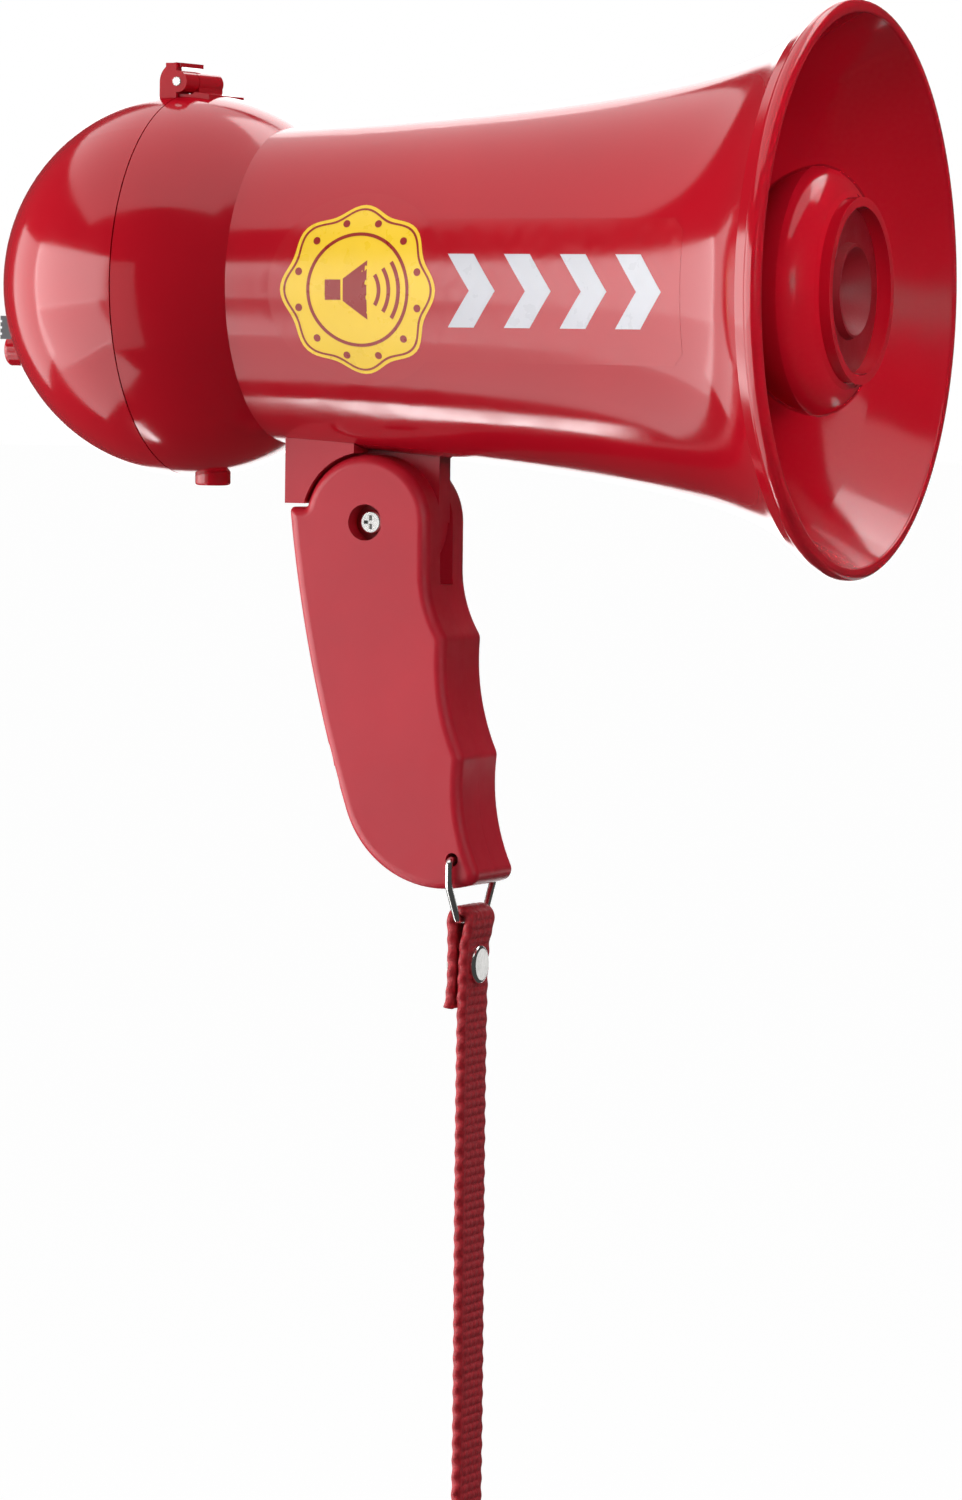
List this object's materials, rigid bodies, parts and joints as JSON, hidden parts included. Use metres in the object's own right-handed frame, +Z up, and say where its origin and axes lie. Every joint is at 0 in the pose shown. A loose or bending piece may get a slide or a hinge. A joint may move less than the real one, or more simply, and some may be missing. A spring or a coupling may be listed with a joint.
{
  "type": "handheld megaphone",
  "caption": "Handheld megaphone with a flared horn, a ball-shaped amplifier case with a hinged rear cover, a folding pistol grip and a webbing strap on a wire ring.",
  "frame": {"origin": "middle of the pistol grip, where a hand holds it", "axes": "+X forwards along the horn's axis towards the mouth, +Z up, +Y to the left of someone looking along the horn"},
  "size_m": [0.205, 0.125, 0.4614],
  "materials": {
    "horn_plastic": "high gloss moulded plastic",
    "grip_plastic": "satin moulded plastic",
    "textured_plastic": "fine textured plastic",
    "grey_plastic": "moulded plastic",
    "black_plastic": "moulded plastic",
    "board": "solder resist",
    "cell_wrap": "printed sleeve",
    "bright_steel": "bright plated",
    "steel_sheet": "plated sheet",
    "magnet": "ferrite",
    "paper": "pressed paper",
    "foam": "foam",
    "boot_rubber": "moulded rubber",
    "webbing": "ribbed webbing"
  },
  "bodies": {
    "handle": {"grip_left_shell": "grip_plastic", "grip_right_shell": "grip_plastic", "grip_screws": "bright_steel", "pivot_screw": "bright_steel", "pivot_sleeve": "bright_steel", "pivot_nut": "bright_steel"},
    "housing": {"horn_bell": "horn_plastic", "front_housing": "horn_plastic", "sound_tube": "horn_plastic", "tube_screws": "bright_steel", "tube_collar": "horn_plastic", "reflector_cup": "horn_plastic", "reflector_disc": "textured_plastic", "hinge_pin": "bright_steel", "latch_spring": "bright_steel", "speaker_gasket": "foam", "speaker_frame": "steel_sheet", "speaker_magnet": "magnet", "speaker_cone": "paper", "speaker_dust_cap": "paper", "speaker_screws": "bright_steel", "battery_tray": "black_plastic", "battery_cells": "cell_wrap", "battery_springs": "steel_sheet", "battery_plates": "steel_sheet", "tray_screws": "bright_steel", "handle_bracket": "grip_plastic", "bracket_screws": "bright_steel"},
    "rear_cover": {"rear_dome": "horn_plastic", "circuit_board": "board", "board_screws": "bright_steel", "board_parts": "black_plastic", "tact_switch": "black_plastic", "button_spring": "bright_steel", "slide_switch_body": "steel_sheet", "microphone_capsule": "steel_sheet", "microphone_boot": "boot_rubber"},
    "latch": {"latch_button": "horn_plastic"},
    "siren": {"siren_button": "horn_plastic"},
    "mode": {"switch_lever": "grey_plastic"},
    "strap": {"strap_ring": "bright_steel", "strap_webbing": "webbing", "strap_rivet_upper": "bright_steel", "strap_rivet_lower": "bright_steel"}
  },
  "joints": [
    {"name": "handle_fold", "type": "hinge", "parent": "handle", "child": "housing", "pos_m": [-0.0054, 0, 0.04], "axis": [0, 1, 0], "range_deg": [0, 65]},
    {"name": "cover_open", "type": "hinge", "parent": "housing", "child": "rear_cover", "pos_m": [-0.05289, 0, 0.13686], "axis": [0, 1, 0], "range_deg": [0, 90]},
    {"name": "latch_press", "type": "slide", "parent": "housing", "child": "latch", "axis": [0, 0, 1], "range_m": [0, 0.0015], "stiffness_N_per_m": 400, "springref_m": -0.002, "deforming": ["latch_spring"]},
    {"name": "siren_press", "type": "slide", "parent": "rear_cover", "child": "siren", "axis": [1, 0, 0], "range_m": [0, 0.0018], "stiffness_N_per_m": 400, "springref_m": -0.002, "deforming": ["button_spring"]},
    {"name": "switch_slide", "type": "slide", "parent": "rear_cover", "child": "mode", "axis": [0, 0, -1], "range_m": [0, 0.003]},
    {"name": "ring_swing", "type": "hinge", "parent": "handle", "child": "strap", "pos_m": [0.0165, 0, -0.0335], "axis": [0, -1, 0], "range_deg": [-30, 10]}
  ]
}
